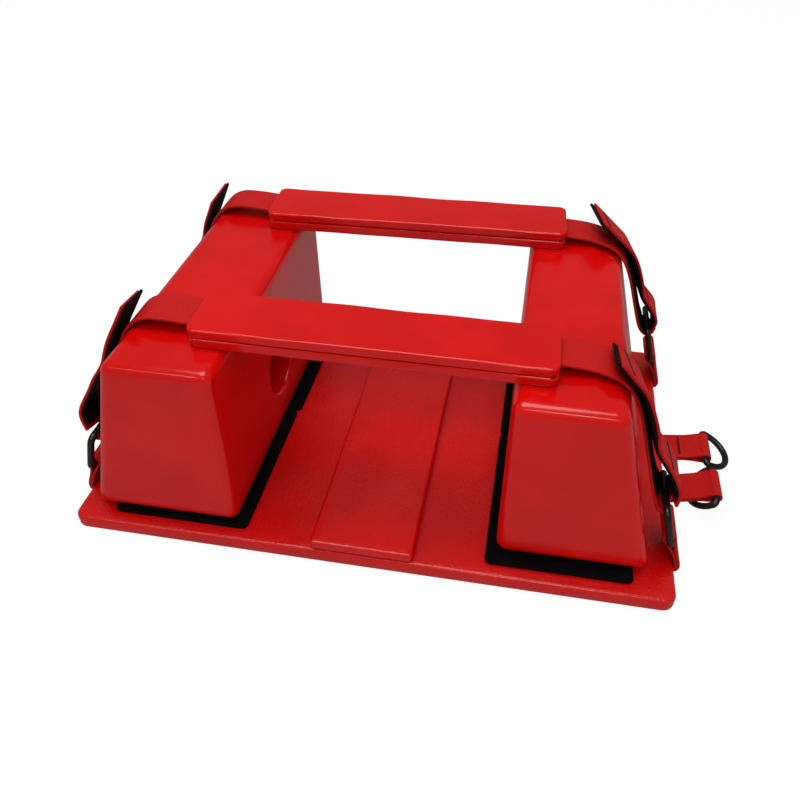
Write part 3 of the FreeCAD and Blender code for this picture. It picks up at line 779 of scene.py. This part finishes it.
STACK = WEB_THICK + 2 * TAPE     # from the middle of the webbing to the middle of the tail
WIDE = [(190.4, 65.5), (192.9, 71.0), (192.6, 77.5), (189.2, 84.5), (184.6, 92.0), (180.4, 100.0)]
EVEN = [(190.2, 66.5), (190.7, 72.0), (187.2, 79.5), (181.0, 87.5)]
NARROW = [(190.0, 66.0), (190.0, 71.0), (186.2, 77.5), (180.6, 84.5)]
# each tail's loop, how low and how far out it lies on the webbing, how far it stands off there,
# its tip, and how much it turns about its length
TAILS = {("front", "left"): (WIDE, 109.0, 158.0, 0.8, (155.3, 148.0), 0.0),
         ("front", "right"): (EVEN, 95.0, 151.5, 0.0, (143.0, 145.2), 0.2),
         ("rear", "left"): (WIDE, 109.0, 158.0, 0.8, (156.5, 147.0), 0.0),
         ("rear", "right"): (NARROW, 90.5, 151.5, 0.0, (132.0, 156.0), 0.2)}

for (strap, side), (loop, lowest, leaves_at, stand, tip, lean) in TAILS.items():
    sign = SIDES[side]
    closed = [p for p in drop_lines[strap, side][::-1] if p.z > lowest and abs(p.x) > leaves_at]
    closed = [(abs(p.x), p.z) for p in shifted(closed, (STACK + stand) * -sign)]
    points = arc(CREST, TURN, LIFTS_AT, LIFTS_AT, 1)[:1] + loop + closed + [tip]
    line = strap_line(in_space(points, sign, tab_y[strap], strap_y[strap]), 5)
    tail = band(f"{strap}_{side}_tail_web", line, WEB_WIDE, WEB_THICK, web, lean)
    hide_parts(f"{strap}_{side}_tail")
    body = f"{strap}_{side}_tail_body"
    hinge = Vector((sign * HINGE[0], tab_y[strap], HINGE[1]))
    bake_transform(tail)

    past_tip = line[-1] + (line[-1] - line[-2]).normalized() * 2.5
    tape_line = shifted(line[2:] + [past_tip], (WEB_THICK + TAPE) / 2 * sign)
    tape = band(f"{strap}_{side}_hook_tape", tape_line, WEB_WIDE - 2, TAPE, hook_tape, lean)
    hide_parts(f"{strap}_{side}_hook_patch")
    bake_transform(tape)

    outer = shifted(line, WEB_THICK / 2 * -sign)
    half = WEB_WIDE / 2 - 3
    rows = {"bar_tack": min(range(len(line)), key=lambda i: abs((line[i] - hinge).length - 24)),
            "seam": len(line) - 5}
    for label, at in rows.items():
        face = (outer[at] - line[at]).normalized()
        step = (outer[at + 1] - outer[at]).normalized() * 1.6
        bars = []
        for i in range(20):
            beside = half * (2 * i / 19 - 1)
            across = Vector((-beside * lean * freed(line[at].z), beside, 0)) + face * 0.15
            bars.append((outer[at] + across, outer[at] + across + step + Vector((0, 0.5, 0))))
        tack = stitches(f"{strap}_{side}_{label}", bars, face, 2.0, 0.36)
        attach(tack, body)
        if label == "bar_tack":
            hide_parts(f"{strap}_{side}_tail_tack")
    print(tail.name, "is", round(length_of(line)), "mm of webbing")

# %% [markdown]
# A ring tab is one length of webbing that goes round the ring's lower bar and back, so it is
# double, with both ends in the slot in the base's side. The band's line runs up the outer side,
# round the bar and down the inner side.

# %% Ring tabs
def doubled(name, route, bar, wide, y, sign):
    """Webbing out along a route, round a bar, and back, as one band."""
    centre = Vector((sign * bar[0], y, bar[1]))
    stem = rounded(spaced([(sign * u, y, z) for u, z in route], 1.5), 4)

    def ply(face):
        # the plies lie together at the root and part over the last eight points
        parting = [max(0, 1 - (len(stem) - 1 - i) / 8) ** 2 for i in range(len(stem))]
        return [shifted(stem, face * (0.9 + 1.6 * part))[i] for i, part in enumerate(parting)]

    way = (stem[-1] - stem[-2]).normalized()
    square = way.cross(Vector((0, 1, 0))).normalized()
    turns = [math.radians(150 - 300 * i / 16) for i in range(1, 16)]
    eye = [centre + (way * math.cos(t) + square * math.sin(t)) * FOLD for t in turns]
    return band(name, ply(1) + eye + ply(-1)[::-1], wide, WEB_THICK - 0.05, web)


ROOT = (176.5, 5.5)              # where a tab's webbing starts, deep in its slot
SHORT_OF_BAR = 4.4               # a stem ends this far from the bar that it goes round

for strap in ("front", "rear"):
    for side, sign in SIDES.items():
        rise = arc((200, 7.9), 2.4, -90, 0, 5)
        above = Vector((202.4, 11.0))
        to_bar = (Vector(BAR) - above).normalized()
        route = [ROOT] + rise + [tuple(above), tuple(Vector(BAR) - to_bar * SHORT_OF_BAR)]
        tab = doubled(f"{strap}_{side}_tab_web", route, BAR, WEB_WIDE, tab_y[strap], sign)
        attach(tab, "base_body")
        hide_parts(f"{strap}_{side}_ring_tab")
print("ring tabs are on")

# %% [markdown]
# Two shorter tabs at the right carry D-rings for a strap under the board. Bar tacks hold them
# closed, two on the rear one and one on the front one.

# %% Spare tabs
SPARE_WIDE = 25
LEAVES = Vector((200.3, 5.5))    # where a spare tab leaves the base's side
# each tab's length to its bar, its tilt in degrees, and how far along it the rows of stitches are
SPARES = {"front": (34, 16, [9.5]), "rear": (32, 8, [3, 13])}

for spare, (out, tilt, rows) in SPARES.items():
    y = middle_y(f"spare_{spare}_tab")
    way = Vector((math.cos(math.radians(tilt)), math.sin(math.radians(tilt))))
    bar = LEAVES + way * out
    route = [ROOT, tuple(LEAVES), tuple(bar - way * SHORT_OF_BAR)]
    tab = doubled(f"spare_{spare}_tab_web", route, bar, SPARE_WIDE, y, 1)
    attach(tab, "base_body")
    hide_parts(f"spare_{spare}_tab")
    bars = []
    face = Vector((-way.y, 0, way.x))
    cloth = spaced([(u, y, z) for u, z in route], 0.5)
    for row in rows:
        at = min(cloth, key=lambda p: abs(p.x - (LEAVES + way * row).x)) + face * 2.1
        for i in range(17):
            across = Vector((0, -9.5 + 19 * i / 16, 0))
            bars.append((at + across, at + across + Vector((way.x * 1.8, 0.5, way.y * 1.8))))
    tack = stitches(f"spare_{spare}_bar_tacks", bars, face, 2.2, 0.36)
    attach(tack, "base_body")
    if spare == "rear":
        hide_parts("spare_tab_tacks")
print("spare tabs are on")

# %% [markdown]
# The rings' shape in the CAD model is already right, so they only get their finish.

# %% Rings
for name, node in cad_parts.items():
    if name.endswith("ring"):
        node.data.materials.clear()
        node.data.materials.append(ring_nylon)
        node.data.shade_smooth()
print("rings:", [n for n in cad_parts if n.endswith("ring")])

# %% [markdown]
# The stage is a plain pale floor, lit by one large soft lamp above and by two small ones in front,
# which draw the bright lines along the blocks' front edges. To the camera the floor and the world
# are white. In the coating's reflections both are far dimmer, and the world is a weak lamp too, so
# that the red renders about as it is written. The floor keeps a little of the set's shadow.

# %% Stage and light
floor_mat, tree = new_material("white_paper")
rays = add(tree, "LightPath")
seen = add(tree, "Math", {"operation": "MAXIMUM"}, _0=rays.outputs["Is Camera Ray"],
           _1=rays.outputs["Is Glossy Ray"]).outputs[0]
share = add(tree, "Math", {"operation": "MULTIPLY"}, _0=seen, _1=0.92).outputs[0]
paper = add(tree, "BsdfDiffuse", Color=linear("#DADADA"))
level = add(tree, "MapRange", _0=rays.outputs["Is Glossy Ray"], _3=1.03, _4=0.24).outputs[0]
glow = add(tree, "Emission", Color=(1, 1, 1, 1), Strength=level)
mix = add(tree, "MixShader", _0=share, _1=paper.outputs[0], _2=glow.outputs[0])
add(tree, "OutputMaterial", Surface=mix.outputs[0])

shape = bmesh.new()
bmesh.ops.create_grid(shape, x_segments=1, y_segments=1, size=4000)
bmesh.ops.translate(shape, verts=shape.verts, vec=(0, 0, -0.2))
floor = finished("floor", shape, floor_mat)
floor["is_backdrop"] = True

world = bpy.data.worlds.new("white_room")
world.use_nodes = True
world.node_tree.nodes.clear()
tree = world.node_tree
rays = add(tree, "LightPath")
seen = add(tree, "Math", {"operation": "MAXIMUM"}, _0=rays.outputs["Is Camera Ray"],
           _1=rays.outputs["Is Transmission Ray"]).outputs[0]
lamp_or_mirror = add(tree, "MapRange", _0=rays.outputs["Is Glossy Ray"], _3=0.56,
                     _4=0.16).outputs[0]
strength = add(tree, "Mix", {"data_type": "FLOAT"}, _0=seen, _2=lamp_or_mirror, _3=1.0).outputs[0]
sky = add(tree, "Background", Color=(1, 1, 1, 1), Strength=strength)
add(tree, "OutputWorld", Surface=sky.outputs[0])
scene.world = world


def lamp(name, place, size, power):
    """A round soft lamp, in metres and watts, that shines on the middle of the set."""
    light = bpy.data.lights.new(name, "AREA")
    light.shape = "DISK"
    light.size = size
    light.energy = power
    lamp_object = bpy.data.objects.new(name, light)
    scene.collection.objects.link(lamp_object)
    way = Vector((0, 0, 0.05)) - Vector(place)
    lamp_object.matrix_world = (Matrix.Translation(place)
                                @ way.to_track_quat("-Z", "Y").to_matrix().to_4x4())


lamp("top", (-0.15, 0.05, 1.5), 1.0, 10.5)
lamp("front_right", (0.22, -0.9, 1.1), 0.2, 2.4)
lamp("front_left", (-0.68, -0.9, 1.1), 0.16, 1.3)

# %% [markdown]
# Last, the dressed set's box is measured and printed.

# %% Finish
low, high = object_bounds()
print("visual box in metres:", [round(v, 4) for v in (*low, *high)])
